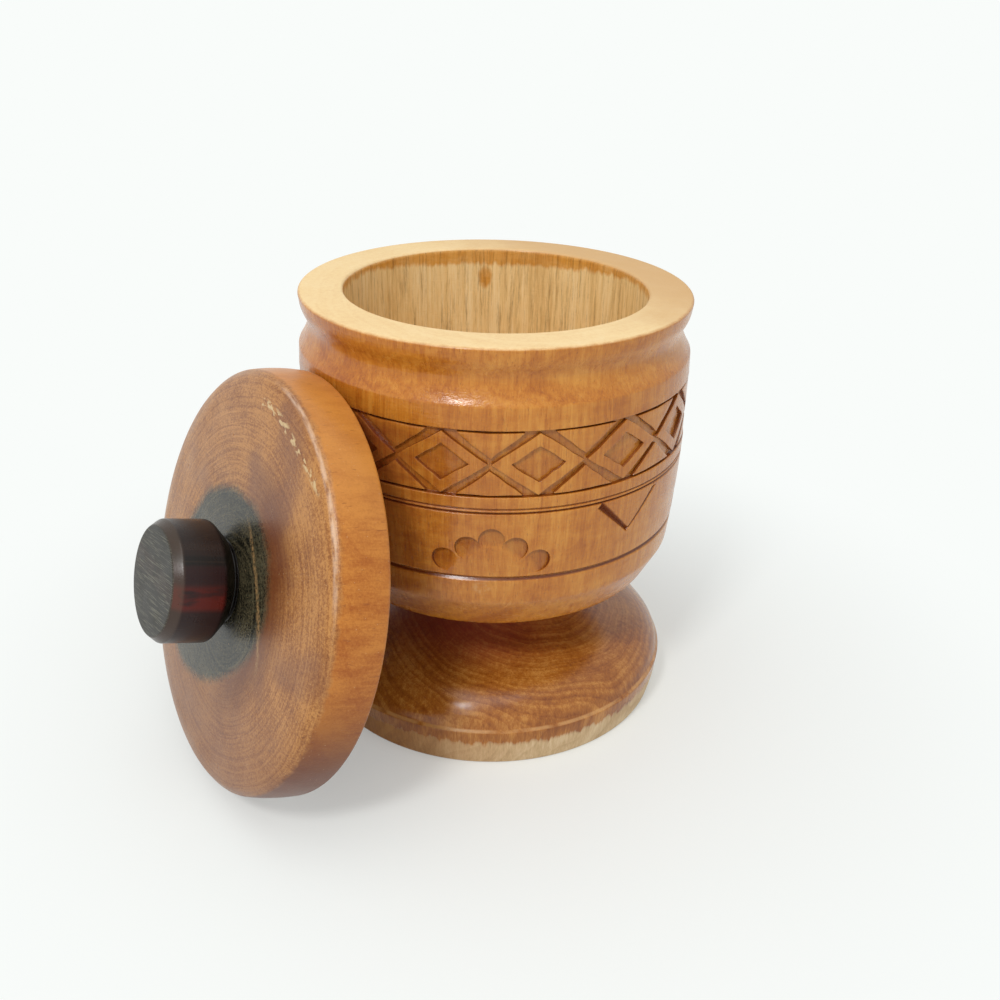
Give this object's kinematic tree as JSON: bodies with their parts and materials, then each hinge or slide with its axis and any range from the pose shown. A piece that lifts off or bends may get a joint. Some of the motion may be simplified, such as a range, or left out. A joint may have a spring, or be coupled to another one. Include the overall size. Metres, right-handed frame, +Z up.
{
  "type": "lidded wooden jar",
  "caption": "Turned wooden jar on a flared pedestal foot, with a sunk carved band and a thick knobbed lid that lifts off and is shown leaning against its side.",
  "frame": {"origin": "centre of the foot's flat underside, on the surface that the jar stands on", "axes": "+Z up along the turning axis, -Y towards the picture's camera; the lid leans on the side at -X and -Y"},
  "size_m": [0.1556, 0.1551, 0.125],
  "materials": {
    "jar_wood": "glossy varnish over orange-brown turned wood, bare and cream on the rim",
    "foot_wood": "satin varnish over red-brown wood, bare and pale at the bottom of its side",
    "lid_wood": "satin varnish over pinkish brown wood with turning rings and a slate-dark heart",
    "dark_heartwood": "satin black-brown heartwood with dark red streaks and sanding scratches"
  },
  "bodies": {
    "jar": {"bowl": "jar_wood", "pedestal_foot": "foot_wood"},
    "lid": {"lid_plate": "lid_wood", "knob": "dark_heartwood"}
  },
  "joints": [
    {"name": "lid_lift", "type": "slide", "parent": "jar", "child": "lid", "axis": [-0.352, -0.2339, 0.9063], "range_m": [0, 0.15]}
  ]
}
